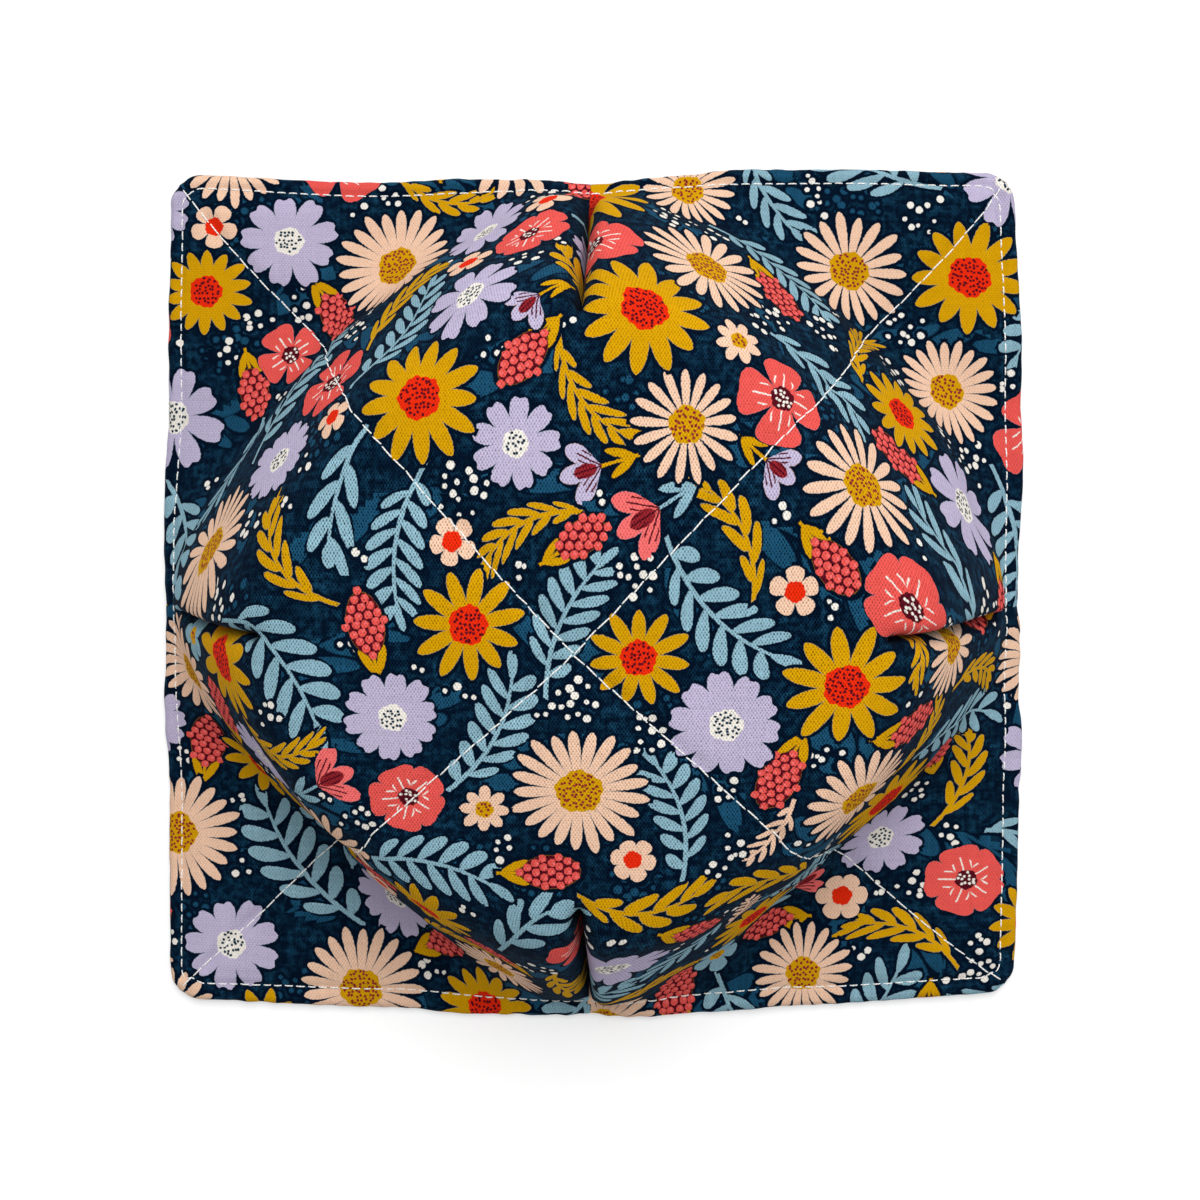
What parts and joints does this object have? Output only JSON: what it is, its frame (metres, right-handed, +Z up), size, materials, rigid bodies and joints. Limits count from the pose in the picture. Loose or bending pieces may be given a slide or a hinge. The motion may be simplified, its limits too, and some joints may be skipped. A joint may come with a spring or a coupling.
{
  "type": "microwave bowl cozy",
  "caption": "Quilted cotton bowl cozy with a floral print, lying upside down: a padded dome with darted sides and flared corners.",
  "frame": {"origin": "under the middle of the bounding box, on the surface that the rim rests on", "axes": "+Z up, out of the dome; +X and +Y square to the sides, each through a dart"},
  "size_m": [0.2004, 0.1974, 0.0565],
  "materials": {
    "printed_cotton": "plain-woven quilting cotton, matt, printed with small flowers and leaves on dark blue"
  },
  "bodies": {
    "root": {"quilted_cozy": "printed_cotton"}
  },
  "joints": []
}
